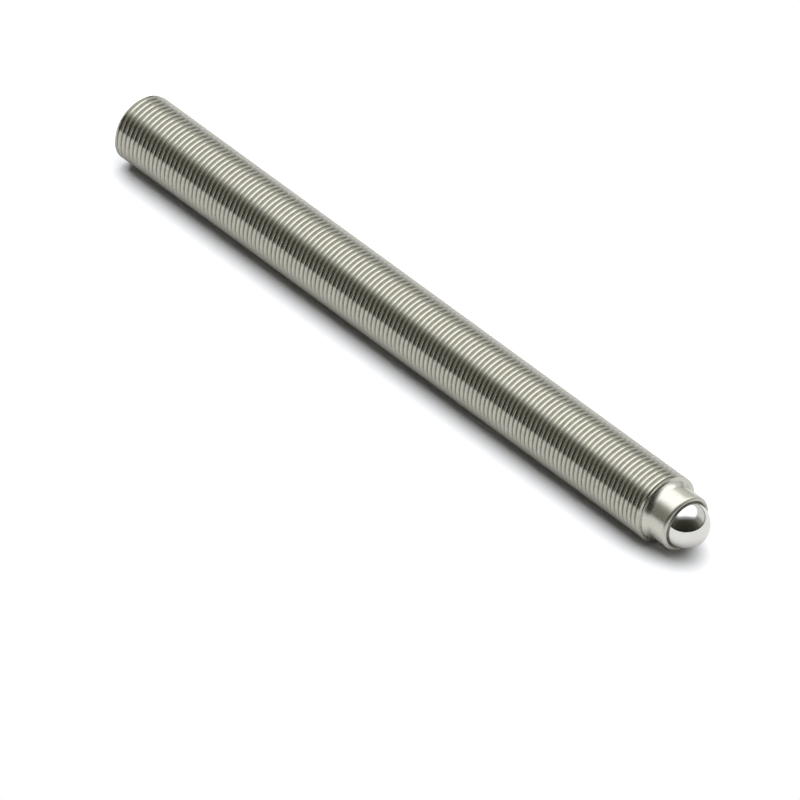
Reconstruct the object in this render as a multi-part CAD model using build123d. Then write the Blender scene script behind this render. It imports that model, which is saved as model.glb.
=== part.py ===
from build123d import *
import os
from math import radians, sin, sqrt, tan

# Ball-end adjusting screw, M3 x 0.25, 35 mm over all. Two pieces: the turned screw
# body and the hard ball held in its nose.
# The screw lies along X with its ball towards +X. The origin is on its axis, half way
# along, and +Z is up, so it rests on a surface half a thread diameter below.

# Driving dimensions, in millimetres and degrees

# Rod. The fine thread is left plain here, at its outer diameter.
overall_length = 35.0
thread_diameter = 3.0
drive_chamfer = 0.2

# Hexagon socket in the drive end
socket_across_flats = 1.5
socket_depth = 1.5
socket_mouth_diameter = 1.85
socket_mouth_angle = 120.0
socket_point_angle = 120.0

# Nose: the last flank of the thread, a cone that blends into the plain neck, and the lip
last_flank_length = 0.03
shoulder_length = 0.16
shoulder_share = 0.4
shoulder_blend = 0.4
neck_length = 1.0
lip_wall = 0.22
lip_reach = 0.05

# Ball and its pocket, which opens a little at the lip
ball_diameter = 2.0
ball_clearance = 0.005
pocket_point_angle = 118.0
pocket_opening = 0.07

# Places along the axis, worked out from the sizes above
drive_end_x = -overall_length / 2
ball_crown_x = overall_length / 2
ball_center_x = ball_crown_x - ball_diameter / 2
rim_x = ball_center_x + lip_reach
neck_start_x = ball_center_x - neck_length
shoulder_start_x = neck_start_x - shoulder_length
thread_end_x = shoulder_start_x - last_flank_length

# Radii, worked out the same way
thread_radius = thread_diameter / 2
pocket_radius = ball_diameter / 2 + ball_clearance
rim_radius = pocket_radius + pocket_opening
neck_radius = pocket_radius + lip_wall
shoulder_radius = neck_radius + shoulder_share * (thread_radius - neck_radius)
lip_round = 0.95 * (neck_radius - rim_radius)


def body_half_section():
    """Half section of the body through a corner of its key socket, with the ball's pocket in its nose."""
    half_point = radians(pocket_point_angle / 2)
    # The pocket's cone touches the ball all round, and meets the bore further forward.
    point_x = ball_center_x - pocket_radius / sin(half_point)
    bore_start_x = point_x + pocket_radius / tan(half_point)

    with BuildSketch(Plane.XY.rotated((-60, 0, 0))) as section:
        with BuildLine():
            Polyline(
                (rim_x, rim_radius),
                (rim_x, neck_radius),
                (neck_start_x, neck_radius),
                (shoulder_start_x, shoulder_radius),
                (thread_end_x, thread_radius),
                (drive_end_x + drive_chamfer, thread_radius),
                (drive_end_x, thread_radius - drive_chamfer),
                (drive_end_x, 0),
                (point_x, 0),
                (bore_start_x, pocket_radius),
                (rim_x - pocket_opening, pocket_radius),
                close=True,
            )
        make_face()
        fillet(corner_at(section, neck_start_x, neck_radius), shoulder_blend)
        fillet(corner_at(section, rim_x, neck_radius), lip_round)
    return section.sketch


def corner_at(section, x, radius):
    """The section's corner nearest to a place along and off the axis."""
    return section.vertices().sort_by_distance((x, radius, 0))[0]


def hexagon_socket():
    """The space of the key's socket: hexagon, drill point and the cone that opens its mouth."""
    corner_radius = socket_across_flats / sqrt(3)
    mouth_radius = socket_mouth_diameter / 2
    mouth_depth = mouth_radius / tan(radians(socket_mouth_angle / 2))
    point_depth = socket_across_flats / 2 / tan(radians(socket_point_angle / 2))
    drive_face = Plane(origin=(drive_end_x, 0, 0), x_dir=(0, 1, 0), z_dir=(1, 0, 0))

    with BuildPart(drive_face) as space:
        with BuildSketch(drive_face):
            RegularPolygon(corner_radius, 6)
        extrude(amount=socket_depth)
        with Locations((0, 0, mouth_depth / 2)):
            Cone(mouth_radius, 0, mouth_depth)
        with Locations((0, 0, socket_depth + point_depth / 2)):
            Cone(socket_across_flats / 2, 0, point_depth)
    return space.part


def make_screw_body():
    """Threaded rod, drive end, shoulder, neck and lip, turned from one bar."""
    with BuildPart() as body:
        add(body_half_section())
        revolve(axis=Axis.X)
        add(hexagon_socket(), mode=Mode.SUBTRACT)
    return body.part


def make_tip_ball():
    """The ball, on the screw's axis with its crown at the front end."""
    with BuildPart() as ball:
        with Locations((ball_center_x, 0, 0)):
            Sphere(ball_diameter / 2)
    return ball.part


os.makedirs("parts", exist_ok=True)
export_step(make_screw_body(), "parts/screw_body.step")
export_step(make_tip_ball(), "parts/tip_ball.step")
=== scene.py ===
from math import atan, cos, degrees, pi, radians, sin, sqrt, tan

import bpy
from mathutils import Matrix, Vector


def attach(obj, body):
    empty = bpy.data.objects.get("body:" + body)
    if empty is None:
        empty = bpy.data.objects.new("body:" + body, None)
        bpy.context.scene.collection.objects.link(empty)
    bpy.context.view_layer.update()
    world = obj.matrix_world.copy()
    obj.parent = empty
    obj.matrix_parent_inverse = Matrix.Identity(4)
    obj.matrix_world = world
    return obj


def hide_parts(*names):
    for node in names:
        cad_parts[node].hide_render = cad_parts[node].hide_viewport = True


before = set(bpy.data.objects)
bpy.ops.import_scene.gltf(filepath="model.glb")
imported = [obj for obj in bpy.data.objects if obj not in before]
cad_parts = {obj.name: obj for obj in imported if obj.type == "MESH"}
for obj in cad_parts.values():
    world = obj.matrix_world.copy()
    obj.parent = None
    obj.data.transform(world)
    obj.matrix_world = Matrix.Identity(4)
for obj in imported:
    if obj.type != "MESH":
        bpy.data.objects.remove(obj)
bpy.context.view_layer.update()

# Ball-end adjusting screw, M3 x 0.25, 35 mm over all, lying on a white table.
# The axis is X, with the ball towards +X. The screw's sizes are in millimetres and become
# metres where a piece is drawn. The room's are in metres.

MM = 0.001

# Rod and thread. The thread is shallower than a standard one and has broader crests, as it
# shows in the photograph, and the edges of its crests are rounded a little.
overall_length = 35.0
thread_diameter = 3.0
thread_pitch = 0.25
thread_depth = 0.4 * thread_pitch
crest_width = 0.38 * thread_pitch
thread_flank_angle = 30.0
crest_round = 0.007
crest_segments = 2
steps_per_turn = 72
spare_turns = 2
drive_chamfer = 0.2

# Edges that turn by less than this many degrees look smooth
smooth_up_to_angle = 32.0

# Hexagon socket in the drive end
socket_across_flats = 1.5
socket_depth = 1.5
socket_mouth_diameter = 1.85
socket_mouth_angle = 120.0
socket_point_angle = 120.0
socket_cone_steps = 64

# Nose: the last flank of the thread, a cone that blends into the plain neck, and the lip
last_flank_length = 0.03
shoulder_length = 0.16
shoulder_share = 0.4
shoulder_blend = 0.4
shoulder_blend_segments = 8
neck_length = 1.0
lip_wall = 0.22
lip_reach = 0.05
lip_segments = 9
turning_steps = 128

# Ball and its pocket, which opens a little at the lip
ball_diameter = 2.0
ball_clearance = 0.005
pocket_point_angle = 118.0
pocket_opening = 0.07
ball_cuts = 39

# Places along the axis and radii, worked out from the sizes above
drive_end_x = -overall_length / 2
ball_center_x = overall_length / 2 - ball_diameter / 2
rim_x = ball_center_x + lip_reach
neck_start_x = ball_center_x - neck_length
shoulder_start_x = neck_start_x - shoulder_length
thread_end_x = shoulder_start_x - last_flank_length
thread_radius = thread_diameter / 2
pocket_radius = ball_diameter / 2 + ball_clearance
rim_radius = pocket_radius + pocket_opening
neck_radius = pocket_radius + lip_wall
shoulder_radius = neck_radius + shoulder_share * (thread_radius - neck_radius)
lip_round = 0.95 * (neck_radius - rim_radius)

# Grain of the finishes: how wide a lathe mark is and how deep, and how large a patch of
# mottling and of haze is. Finish fade is how far one finish takes to turn into the next.
lathe_mark_width = 0.05
lathe_mark_depth = 0.002
mottling_size = 0.2
haze_size = 0.3
finish_fade = 0.05

# Camera, as in the photograph: where it stands, in degrees and millimetres, and how far
# beside and above the middle of the screw it aims
camera_azimuth = 49.424
camera_elevation = 38.945
camera_distance = 800.0
camera_lens = 889.03
aim_right = -0.7075
aim_up = -2.9176

# Table and room, in metres, the azimuth in which the room is darkest, in degrees as the
# camera's, and how strongly the white surroundings light the screw
table_size = 4.0
room_radius = 1.9
dark_side_azimuth = 42.0
surroundings_light = 0.05

# Shadow: how far off the axis the table starts to turn plain white, and where it is, in millimetres
shadow_fades_from = 4.0
shadow_fades_to = 8.0

# Softbox as the metal reflects it, in metres and as if it hung one metre up: it faces
# straight down and stands square to its own azimuth
softbox_azimuth = 48.0
softbox_length = 1.78
softbox_width = 1.97
softbox_ahead = -0.62
softbox_aside = 0.065
softbox_brightness = 2.1

# Lamp in the softbox, which lights the table, in metres and watts. It stands along the screw.
lamp_length = 2.6
lamp_width = 1.24
lamp_behind = 0.18
lamp_height = 1.0
lamp_energy = 30.0


def linear(hex_colour):
    """An sRGB hex colour as the linear RGBA that the shaders take."""
    channels = [int(hex_colour[i:i + 2], 16) / 255 for i in (1, 3, 5)]
    return [c / 12.92 if c <= 0.04045 else ((c + 0.055) / 1.055) ** 2.4 for c in channels] + [1.0]


def add_node(tree, kind, settings=None, links=None):
    """Adds a node. Settings are its properties and socket values, links what feeds its sockets."""
    node = tree.nodes.new(kind)
    for name, value in (settings or {}).items():
        if isinstance(name, int) or name in node.inputs:
            node.inputs[name].default_value = value
        else:
            setattr(node, name, value)
    for name, source in (links or {}).items():
        tree.links.new(source, node.inputs[name])
    return node


def new_material(name):
    """An empty node material, with its tree."""
    material = bpy.data.materials.new(name)
    material.use_nodes = True
    material.node_tree.nodes.clear()
    return material, material.node_tree


def add_ramp(tree, place, shades):
    """A colour ramp, given by the sRGB hex colour at each place along it."""
    ramp = add_node(tree, "ShaderNodeValToRGB", links={"Fac": place})
    stops = ramp.color_ramp.elements
    stops.remove(stops[1])
    for where, hex_colour in shades.items():
        stops.new(where).color = linear(hex_colour)
    stops.remove(stops[0])
    return ramp


# Modelling

def select_only(piece):
    """Makes one object the only selected and active one."""
    bpy.ops.object.select_all(action="DESELECT")
    piece.select_set(True)
    bpy.context.view_layer.objects.active = piece


def select_points(piece, wanted):
    """Opens a piece in edit mode with only the points selected that are wanted."""
    select_only(piece)
    bpy.ops.object.mode_set(mode="EDIT")
    bpy.ops.mesh.select_mode(type="VERT")
    bpy.ops.mesh.select_all(action="DESELECT")
    bpy.ops.object.mode_set(mode="OBJECT")
    for vertex in piece.data.vertices:
        vertex.select = wanted(vertex.co / MM)
    bpy.ops.object.mode_set(mode="EDIT")


def draw_section(name, points):
    """A line of edges through points along and off the axis, extruded one after another."""
    places = [Vector((x, 0, radius)) * MM for x, radius in points]
    bpy.ops.object.select_all(action="DESELECT")
    bpy.ops.mesh.primitive_plane_add(size=MM)
    section = bpy.context.active_object
    section.name = name
    bpy.ops.object.mode_set(mode="EDIT")
    bpy.ops.mesh.select_mode(type="VERT")
    bpy.ops.mesh.merge(type="CENTER")
    bpy.ops.transform.translate(value=places[0])
    for start, end in zip(places, places[1:]):
        bpy.ops.mesh.extrude_region_move(TRANSFORM_OT_translate={"value": end - start})
    bpy.ops.object.mode_set(mode="OBJECT")
    return section


def round_corner(section, corner, radius, turn, segments):
    """Rounds a corner of a section, at which its line turns by so many degrees."""
    x, off_axis = corner
    select_points(section, lambda place: abs(place.x - x) + abs(place.z - off_axis) < 0.001)
    tangent = radius * tan(radians(turn / 2))
    bpy.ops.mesh.bevel(offset=tangent * MM, segments=segments, affect="VERTICES")
    bpy.ops.object.mode_set(mode="OBJECT")


def close_up(piece):
    """Merges doubles, turns the faces outwards and leaves edit mode."""
    select_only(piece)
    bpy.ops.object.mode_set(mode="EDIT")
    bpy.ops.mesh.select_all(action="SELECT")
    bpy.ops.mesh.remove_doubles(threshold=0.001 * MM)
    bpy.ops.mesh.normals_make_consistent(inside=False)
    bpy.ops.object.mode_set(mode="OBJECT")


def cut(piece, operation, other):
    """Cuts a piece by another one, which is used up."""
    select_only(piece)
    boolean = piece.modifiers.new("cut", "BOOLEAN")
    boolean.operation = operation
    boolean.solver = "EXACT"
    boolean.object = other
    bpy.ops.object.modifier_apply(modifier=boolean.name)
    bpy.data.objects.remove(other)


def scale_mesh(piece, factor):
    """Scales a piece about the origin and applies that to its mesh."""
    select_only(piece)
    piece.scale = (factor, factor, factor)
    bpy.ops.object.transform_apply()


def keep_flats_flat(piece):
    """Gives flats and flanks their own direction, so that only the rounded edges look round."""
    # The modifier passes over faces as small as these, so the mesh is a thousand times as large
    # while it works.
    scale_mesh(piece, 1 / MM)
    flats = piece.modifiers.new("flats", "WEIGHTED_NORMAL")
    flats.mode = "FACE_AREA"
    flats.weight = 100
    flats.thresh = 0.001
    flats.keep_sharp = True
    bpy.ops.object.modifier_apply(modifier=flats.name)
    scale_mesh(piece, MM)


def make_threaded_bar():
    """A bar longer than the screw with its helical thread: one crest drawn, then wound on."""
    root_radius = thread_radius - thread_depth
    flank_run = thread_depth * tan(radians(thread_flank_angle))
    crest_offset = (thread_pitch - crest_width) / 2
    root_offset = crest_offset - flank_run
    start_x = drive_end_x - spare_turns * thread_pitch
    root_end = (start_x + root_offset, root_radius)
    crest_left = (start_x + crest_offset, thread_radius)
    crest_right = (start_x + crest_offset + crest_width, thread_radius)
    next_root = (start_x + thread_pitch - root_offset, root_radius)
    bar = draw_section("screw_body_turned", [
        (start_x, root_radius),
        root_end,
        crest_left,
        crest_right,
        next_root,
        (start_x + thread_pitch, root_radius),
    ])
    for crest_edge in (crest_left, crest_right):
        round_corner(bar, crest_edge, crest_round, 90 - thread_flank_angle, crest_segments)
    select_only(bar)
    winding = bar.modifiers.new("thread", "SCREW")
    winding.axis = "X"
    winding.angle = 2 * pi
    winding.screw_offset = thread_pitch * MM
    winding.iterations = round((rim_x - start_x) / thread_pitch) + spare_turns
    winding.steps = steps_per_turn
    winding.render_steps = steps_per_turn
    bpy.ops.object.modifier_apply(modifier=winding.name)
    close_up(bar)
    # Both ends are open, so each is filled, and its one large face is divided about its middle.
    bpy.ops.object.mode_set(mode="EDIT")
    bpy.ops.mesh.select_mode(type="FACE")
    bpy.ops.mesh.select_all(action="SELECT")
    bpy.ops.mesh.fill_holes(sides=0)
    bpy.ops.mesh.select_face_by_sides(number=4, type="GREATER", extend=False)
    bpy.ops.mesh.poke()
    bpy.ops.object.mode_set(mode="OBJECT")
    close_up(bar)
    return bar


def make_turned_blank():
    """The screw as it is turned from bar, a little thicker than its thread, with the ball's pocket."""
    spare = 0.02
    half_point = radians(pocket_point_angle / 2)
    point_x = ball_center_x - pocket_radius / sin(half_point)
    bore_start_x = point_x + pocket_radius / tan(half_point)
    neck_start = (neck_start_x, neck_radius)
    lip_edge = (rim_x, neck_radius)
    shoulder_slope = (shoulder_radius - neck_radius) / shoulder_length
    last_flank_slope = (thread_radius - shoulder_radius) / last_flank_length
    blank = draw_section("turned_blank", [
        (drive_end_x, 0),
        (drive_end_x, thread_radius - drive_chamfer),
        (drive_end_x + drive_chamfer + spare, thread_radius + spare),
        (thread_end_x - spare / last_flank_slope, thread_radius + spare),
        (shoulder_start_x, shoulder_radius),
        neck_start,
        lip_edge,
        (rim_x, rim_radius),
        (rim_x - pocket_opening, pocket_radius),
        (bore_start_x, pocket_radius),
        (point_x, 0),
    ])
    shoulder_turn = degrees(atan(shoulder_slope))
    round_corner(blank, neck_start, shoulder_blend, shoulder_turn, shoulder_blend_segments)
    round_corner(blank, lip_edge, lip_round, 90, lip_segments)
    select_points(blank, lambda place: True)
    bpy.ops.mesh.spin(steps=turning_steps, angle=2 * pi, center=(0, 0, 0), axis=(1, 0, 0))
    bpy.ops.object.mode_set(mode="OBJECT")
    close_up(blank)
    return blank


def make_socket_space():
    """The space that a hexagon key takes in the drive end."""
    corner_radius = socket_across_flats / sqrt(3)
    spare = 0.2
    depth = socket_depth + spare
    bpy.ops.object.select_all(action="DESELECT")
    bpy.ops.mesh.primitive_cylinder_add(
        vertices=6,
        radius=corner_radius * MM,
        depth=depth * MM,
        location=((drive_end_x - spare + depth / 2) * MM, 0, 0),
        rotation=(0, pi / 2, 0),
    )
    space = bpy.context.active_object
    bpy.ops.object.transform_apply()
    return space


def make_cone_space(name, radius, angle, x):
    """A cone-shaped space, so wide at x and pointing into the screw, that starts a little before x."""
    spare = 0.05
    space = draw_section(name, [
        (x - spare, 0),
        (x - spare, radius + spare * tan(radians(angle / 2))),
        (x + radius / tan(radians(angle / 2)), 0),
    ])
    select_points(space, lambda place: True)
    bpy.ops.mesh.spin(steps=socket_cone_steps, angle=2 * pi, center=(0, 0, 0), axis=(1, 0, 0))
    bpy.ops.object.mode_set(mode="OBJECT")
    close_up(space)
    return space


def make_screw_body():
    """Threaded rod, drive end with its socket, shoulder, neck and lip, all one piece of steel."""
    body = make_threaded_bar()
    cut(body, "INTERSECT", make_turned_blank())
    cut(body, "DIFFERENCE", make_socket_space())
    socket_bottom = drive_end_x + socket_depth
    mouth_radius = socket_mouth_diameter / 2
    cut(body, "DIFFERENCE", make_cone_space("mouth", mouth_radius, socket_mouth_angle, drive_end_x))
    point_radius = socket_across_flats / 2
    cut(body, "DIFFERENCE", make_cone_space("point", point_radius, socket_point_angle, socket_bottom))
    close_up(body)
    bpy.ops.object.shade_smooth_by_angle(angle=radians(smooth_up_to_angle))
    keep_flats_flat(body)
    return body


def make_tip_ball():
    """The ball: a cube, divided finely and cast to a sphere, so that it has no poles."""
    bpy.ops.object.select_all(action="DESELECT")
    bpy.ops.mesh.primitive_cube_add(size=ball_diameter * MM)
    ball = bpy.context.active_object
    ball.name = "tip_ball_polished"
    bpy.ops.object.mode_set(mode="EDIT")
    bpy.ops.mesh.subdivide(number_cuts=ball_cuts)
    bpy.ops.object.mode_set(mode="OBJECT")
    cast = ball.modifiers.new("round", "CAST")
    cast.cast_type = "SPHERE"
    cast.factor = 1.0
    cast.use_radius_as_size = False
    cast.size = ball_diameter / 2 * MM
    bpy.ops.object.modifier_apply(modifier=cast.name)
    ball.location = (ball_center_x * MM, 0, 0)
    bpy.ops.object.transform_apply()
    bpy.ops.object.shade_smooth()
    return ball


# Materials

def turned_stainless_steel():
    """Stainless steel turned and thread-rolled: satin and slightly warm, with fine lathe marks, and
    painted shade in the thread's grooves and round the ball.
    """
    material, tree = new_material("turned stainless steel")
    place = add_node(tree, "ShaderNodeTexCoord")
    axes = add_node(tree, "ShaderNodeSeparateXYZ", links={"Vector": place.outputs["Object"]})
    across = add_node(tree, "ShaderNodeCombineXYZ", links={
        "Y": axes.outputs["Y"],
        "Z": axes.outputs["Z"],
    })
    radius = add_node(tree, "ShaderNodeVectorMath", {"operation": "LENGTH"}, {0: across.outputs[0]})
    # A lathe mark runs round the axis, so the pattern changes along it and outwards.
    lathe_place = add_node(tree, "ShaderNodeCombineXYZ", links={
        "X": axes.outputs["X"],
        "Y": radius.outputs["Value"],
    })
    marks = add_node(
        tree,
        "ShaderNodeTexNoise",
        {"noise_dimensions": "2D", "Scale": 1 / (lathe_mark_width * MM), "Detail": 2.0},
        {"Vector": lathe_place.outputs[0]},
    )
    mottling = add_node(
        tree,
        "ShaderNodeTexNoise",
        {"Scale": 1 / (mottling_size * MM), "Detail": 3.0},
        {"Vector": place.outputs["Object"]},
    )
    bump = add_node(
        tree,
        "ShaderNodeBump",
        {"Strength": 0.3, "Distance": lathe_mark_depth * MM},
        {"Height": marks.outputs[0]},
    )
    roughness = add_node(
        tree,
        "ShaderNodeMapRange",
        {"From Min": 0.3, "From Max": 0.7, "To Min": 0.24, "To Max": 0.3},
        {"Value": mottling.outputs[0]},
    )
    # The lip is duller, where it was pressed over the ball.
    lip_dullness = add_node(
        tree,
        "ShaderNodeMapRange",
        {
            "From Min": (rim_x - lip_round - finish_fade) * MM,
            "From Max": (rim_x - lip_round + finish_fade) * MM,
            "To Max": 0.12,
        },
        {"Value": axes.outputs["X"]},
    )
    nose_dullness = add_node(
        tree,
        "ShaderNodeMath",
        {"operation": "ADD"},
        {0: roughness.outputs["Result"], 1: lip_dullness.outputs["Result"]},
    )
    # The rolled thread is smoother than the turned nose. All that lies behind the shoulder
    # counts as thread here, with the drive end and its socket.
    on_thread = add_node(
        tree,
        "ShaderNodeMath",
        {"operation": "LESS_THAN", 1: thread_end_x * MM},
        {0: axes.outputs["X"]},
    )
    dullness = add_node(
        tree,
        "ShaderNodeMath",
        {"operation": "MULTIPLY_ADD", 1: -0.09},
        {0: on_thread.outputs[0], 2: nose_dullness.outputs[0]},
    )
    # The thread is darkened in patches, a little on its crests and most at the bottom of its grooves,
    # where the darkening is painted shade. The gap round the ball is painted dark as shade.
    # Painted shade: the colour darkens towards the bottom of the thread's grooves, and a little on the
    # crests too
    root_shade_and_darkening = add_node(
        tree,
        "ShaderNodeMapRange",
        {
            "From Min": (thread_radius - thread_depth) * MM,
            "From Max": (thread_radius - 0.3 * thread_depth) * MM,
            "To Min": 1.0,
            "To Max": 0.65,
        },
        {"Value": radius.outputs["Value"]},
    )
    patches = add_node(
        tree,
        "ShaderNodeMapRange",
        {"From Min": 0.35, "From Max": 0.6, "To Min": 0.7, "To Max": 1.0},
        {"Value": mottling.outputs[0]},
    )
    patchy_shade_and_darkening = add_node(
        tree,
        "ShaderNodeMath",
        {"operation": "MULTIPLY"},
        {0: root_shade_and_darkening.outputs["Result"], 1: patches.outputs["Result"]},
    )
    thread_shade_and_darkening = add_node(
        tree,
        "ShaderNodeMath",
        {"operation": "MULTIPLY"},
        {0: patchy_shade_and_darkening.outputs[0], 1: on_thread.outputs[0]},
    )
    from_ball = add_node(
        tree,
        "ShaderNodeVectorMath",
        {"operation": "DISTANCE", 1: (ball_center_x * MM, 0, 0)},
        {0: place.outputs["Object"]},
    )
    # Painted shade: the crevice round the ball is coloured dark
    gap_painted_shade = add_node(
        tree,
        "ShaderNodeMapRange",
        {
            "From Min": rim_radius * MM,
            "From Max": (rim_radius + finish_fade) * MM,
            "To Min": 1.0,
            "To Max": 0.0,
        },
        {"Value": from_ball.outputs["Value"]},
    )
    painted_shade_and_darkening = add_node(
        tree,
        "ShaderNodeMath",
        {"operation": "MAXIMUM"},
        {0: thread_shade_and_darkening.outputs[0], 1: gap_painted_shade.outputs["Result"]},
    )
    # The darker colour is the painted shade in the thread's grooves and round the ball
    colour = add_ramp(tree, painted_shade_and_darkening.outputs[0], {0.0: "#C9C8BF", 1.0: "#A8A79D"})
    shader = add_node(
        tree,
        "ShaderNodeBsdfPrincipled",
        {"Metallic": 1.0},
        {
            "Base Color": colour.outputs["Color"],
            "Roughness": dullness.outputs[0],
            "Normal": bump.outputs["Normal"],
        },
    )
    add_node(tree, "ShaderNodeOutputMaterial", links={"Surface": shader.outputs[0]})
    return material


def polished_ball_steel():
    """Hardened bearing steel, lapped to a mirror: nearly neutral, with sharp reflections."""
    material, tree = new_material("polished bearing steel")
    place = add_node(tree, "ShaderNodeTexCoord")
    haze = add_node(
        tree,
        "ShaderNodeTexNoise",
        {"Scale": 1 / (haze_size * MM), "Detail": 2.0},
        {"Vector": place.outputs["Object"]},
    )
    roughness = add_node(
        tree,
        "ShaderNodeMapRange",
        {"From Min": 0.3, "From Max": 0.7, "To Min": 0.05, "To Max": 0.09},
        {"Value": haze.outputs[0]},
    )
    shader = add_node(
        tree,
        "ShaderNodeBsdfPrincipled",
        {"Base Color": linear("#DCDCDA"), "Metallic": 1.0},
        {"Roughness": roughness.outputs["Result"]},
    )
    add_node(tree, "ShaderNodeOutputMaterial", links={"Surface": shader.outputs[0]})
    return material


def table_paper():
    """Bright white matt paper, which looks pure white wherever the screw casts no shadow on it."""
    material, tree = new_material("white table paper")
    place = add_node(tree, "ShaderNodeTexCoord")
    rays = add_node(tree, "ShaderNodeLightPath")
    # The shadow stays close to the screw, which is a long thing, so distances along it count less.
    from_axis = add_node(
        tree,
        "ShaderNodeVectorMath",
        {"operation": "MULTIPLY", 1: (0.2, 1, 0)},
        {0: place.outputs["Object"]},
    )
    distance = add_node(tree, "ShaderNodeVectorMath", {"operation": "LENGTH"}, {0: from_axis.outputs[0]})
    beyond_shadow = add_node(
        tree,
        "ShaderNodeMapRange",
        {"From Min": shadow_fades_from * MM, "From Max": shadow_fades_to * MM},
        {"Value": distance.outputs["Value"]},
    )
    # Bounced light comes from the paper itself, so that the plain white lights nothing.
    plain_white = add_node(
        tree,
        "ShaderNodeMath",
        {"operation": "SUBTRACT"},
        {0: beyond_shadow.outputs["Result"], 1: rays.outputs["Is Diffuse Ray"]},
    )
    # The metal sees the paper a little greyer than the camera does.
    shade = add_ramp(tree, rays.outputs["Is Camera Ray"], {0.0: "#CFCECD", 1.0: "#F2F3F5"})
    paper = add_node(tree, "ShaderNodeBsdfDiffuse", links={"Color": shade.outputs["Color"]})
    white = add_node(tree, "ShaderNodeEmission", {"Color": (1, 1, 1, 1), "Strength": 1.0})
    seen = add_node(tree, "ShaderNodeMixShader", links={
        0: plain_white.outputs[0],
        1: paper.outputs[0],
        2: white.outputs[0],
    })
    add_node(tree, "ShaderNodeOutputMaterial", links={"Surface": seen.outputs[0]})
    material.cycles.emission_sampling = "NONE"
    return material


def add_softbox_reflection(tree, heading, height):
    """How bright the softbox is in a direction: full in its middle, and fading out at its edge."""
    turn = radians(softbox_azimuth - 90)
    along = Vector((cos(turn), sin(turn)))
    sideways = Vector((-sin(turn), cos(turn)))
    middle = along * softbox_ahead + sideways * softbox_aside
    # Over its own height, a direction is the place where it meets the level one metre up.
    level = add_node(tree, "ShaderNodeVectorMath", {"operation": "DIVIDE"}, {0: heading, 1: height})
    across = add_node(
        tree,
        "ShaderNodeMapping",
        {
            "vector_type": "TEXTURE",
            "Location": (middle.x, middle.y, 1),
            "Rotation": (0, 0, turn),
            "Scale": (softbox_length / 2, softbox_width / 2, 1),
        },
        {"Vector": level.outputs[0]},
    )
    # The squares of the two distances from its middle give it the outline of a rounded square.
    squares = add_node(
        tree,
        "ShaderNodeVectorMath",
        {"operation": "MULTIPLY"},
        {0: across.outputs[0], 1: across.outputs[0]},
    )
    distance = add_node(tree, "ShaderNodeVectorMath", {"operation": "LENGTH"}, {0: squares.outputs[0]})
    # The softbox's edge lies half way along the ramp.
    halved = add_node(
        tree,
        "ShaderNodeMapRange",
        {"From Max": 2.0},
        {"Value": distance.outputs["Value"]},
    )
    glow = add_ramp(tree, halved.outputs["Result"], {
        0.3: "#F5F5F5",
        0.38: "#DBDBDB",
        0.47: "#BDBDBD",
        0.58: "#888888",
        0.7: "#707070",
        0.85: "#525252",
        0.95: "#4C4C4C",
        1.0: "#000000",
    })
    return glow


def studio_walls_painted_reflection():
    """Glowing walls, a painted reflection that only the metal sees: dark behind the camera and light
    grey beyond the screw.
    """
    material, tree = new_material("studio walls, painted reflection")
    place = add_node(tree, "ShaderNodeTexCoord")
    rays = add_node(tree, "ShaderNodeLightPath")
    heading = add_node(
        tree,
        "ShaderNodeVectorMath",
        {"operation": "NORMALIZE"},
        {0: place.outputs["Object"]},
    )
    axes = add_node(tree, "ShaderNodeSeparateXYZ", links={"Vector": heading.outputs["Vector"]})
    dark_side = radians(dark_side_azimuth)
    toward_camera = add_node(
        tree,
        "ShaderNodeVectorMath",
        {"operation": "DOT_PRODUCT", 1: (sin(dark_side), -cos(dark_side), 0)},
        {0: heading.outputs["Vector"]},
    )
    # The ramp runs from straight away from the dark side to straight towards it.
    side = add_node(
        tree,
        "ShaderNodeMapRange",
        {"From Min": -1.0, "From Max": 1.0},
        {"Value": toward_camera.outputs["Value"]},
    )
    walls = add_ramp(tree, side.outputs["Result"], {
        0.36: "#E7E7E5",
        0.49: "#9E9C94",
        0.57: "#908E84",
        0.7: "#57554C",
        0.85: "#3A3930",
        0.97: "#2D2C26",
    })
    # The foot of the walls lies in the dark, which draws a thin dark line round the horizon.
    foot = add_node(
        tree,
        "ShaderNodeMapRange",
        {"From Max": 0.16, "To Min": 0.15, "To Max": 1.0},
        {"Value": axes.outputs["Z"]},
    )
    walls_and_foot = add_node(
        tree,
        "ShaderNodeVectorMath",
        {"operation": "SCALE"},
        {0: walls.outputs["Color"], "Scale": foot.outputs["Result"]},
    )
    glow = add_softbox_reflection(tree, heading.outputs["Vector"], axes.outputs["Z"])
    # Only the metal sees the softbox here. The table is lit by the lamp itself.
    brightness = add_node(
        tree,
        "ShaderNodeMath",
        {"operation": "MULTIPLY", 1: softbox_brightness},
        {0: rays.outputs["Is Glossy Ray"]},
    )
    softbox = add_node(
        tree,
        "ShaderNodeVectorMath",
        {"operation": "SCALE"},
        {0: glow.outputs["Color"], "Scale": brightness.outputs[0]},
    )
    both = add_node(
        tree,
        "ShaderNodeVectorMath",
        {"operation": "MAXIMUM"},
        {0: walls_and_foot.outputs[0], 1: softbox.outputs[0]},
    )
    # Painted reflection: the walls glow with this colour, and the softbox is drawn on them
    shader = add_node(tree, "ShaderNodeEmission", links={"Color": both.outputs[0]})
    add_node(tree, "ShaderNodeOutputMaterial", links={"Surface": shader.outputs[0]})
    material.cycles.emission_sampling = "NONE"
    return material


# Studio

def make_table():
    """The white surface that the screw lies on."""
    bpy.ops.object.select_all(action="DESELECT")
    bpy.ops.mesh.primitive_plane_add(size=table_size, location=(0, 0, -thread_radius * MM))
    table = bpy.context.active_object
    table.name = "table"
    bpy.ops.object.transform_apply()
    table.data.materials.append(table_paper())
    return table


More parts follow.
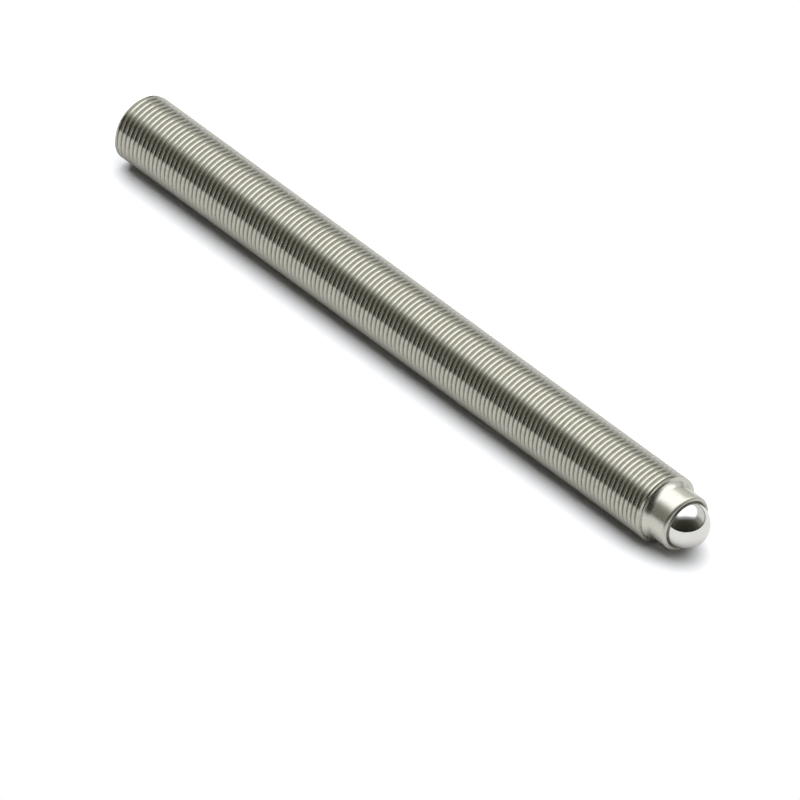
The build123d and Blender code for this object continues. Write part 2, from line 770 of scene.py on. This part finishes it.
def make_studio_walls():
    """The room round the table, which only shows as a reflection in the metal."""
    bpy.ops.object.select_all(action="DESELECT")
    bpy.ops.mesh.primitive_uv_sphere_add(segments=64, ring_count=32, radius=room_radius)
    walls = bpy.context.active_object
    walls.name = "studio_walls"
    bpy.ops.object.mode_set(mode="EDIT")
    bpy.ops.mesh.select_all(action="SELECT")
    bpy.ops.mesh.bisect(plane_co=(0, 0, 0), plane_no=(0, 0, 1), clear_inner=True)
    bpy.ops.object.mode_set(mode="OBJECT")
    walls.data.materials.append(studio_walls_painted_reflection())
    walls.visible_camera = False
    walls.visible_diffuse = False
    walls.visible_shadow = False
    walls.visible_transmission = False
    return walls


def light_studio():
    """A large lamp overhead, a little behind the screw, and even white surroundings."""
    softbox = bpy.data.lights.new("softbox", "AREA")
    softbox.shape = "ELLIPSE"
    softbox.size = lamp_length
    softbox.size_y = lamp_width
    softbox.energy = lamp_energy
    lamp = bpy.data.objects.new("softbox", softbox)
    bpy.context.scene.collection.objects.link(lamp)
    lamp.location = (0, lamp_behind, lamp_height)
    # The metal sees the softbox that is drawn on the walls, and not this lamp.
    lamp.visible_glossy = False

    world = bpy.data.worlds.new("white surroundings")
    bpy.context.scene.world = world
    world.use_nodes = True
    tree = world.node_tree
    tree.nodes.clear()
    rays = add_node(tree, "ShaderNodeLightPath")
    either = add_node(
        tree,
        "ShaderNodeMath",
        {"operation": "MAXIMUM"},
        {0: rays.outputs["Is Camera Ray"], 1: rays.outputs["Is Glossy Ray"]},
    )
    seen = add_node(
        tree,
        "ShaderNodeMath",
        {"operation": "MAXIMUM"},
        {0: either.outputs[0], 1: rays.outputs["Is Transmission Ray"]},
    )
    strength = add_node(
        tree,
        "ShaderNodeMapRange",
        {"To Min": surroundings_light, "To Max": 1.0},
        {"Value": seen.outputs[0]},
    )
    sky = add_node(
        tree,
        "ShaderNodeBackground",
        {"Color": (1, 1, 1, 1)},
        {"Strength": strength.outputs["Result"]},
    )
    add_node(tree, "ShaderNodeOutputWorld", links={"Surface": sky.outputs[0]})


def aim_camera():
    """The camera of the photograph, far off with a long lens."""
    azimuth = radians(camera_azimuth)
    elevation = radians(camera_elevation)
    back = Vector((sin(azimuth) * cos(elevation), -cos(azimuth) * cos(elevation), sin(elevation)))
    right = Vector((cos(azimuth), sin(azimuth), 0))
    up = back.cross(right)
    lens = bpy.data.cameras.new("camera")
    lens.lens = camera_lens
    lens.sensor_width = 36.0
    camera = bpy.data.objects.new("camera", lens)
    bpy.context.scene.collection.objects.link(camera)
    camera.location = (right * aim_right + up * aim_up + back * camera_distance) * MM
    camera.rotation_euler = (-back).to_track_quat("-Z", "Y").to_euler()
    bpy.context.scene.camera = camera


screw_body = make_screw_body()
screw_body.data.materials.append(turned_stainless_steel())
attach(screw_body, "root")
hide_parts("screw_body")

tip_ball = make_tip_ball()
tip_ball.data.materials.append(polished_ball_steel())
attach(tip_ball, "root")
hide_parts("tip_ball")

make_table()
make_studio_walls()
light_studio()
aim_camera()
bpy.context.scene.view_settings.view_transform = "Standard"
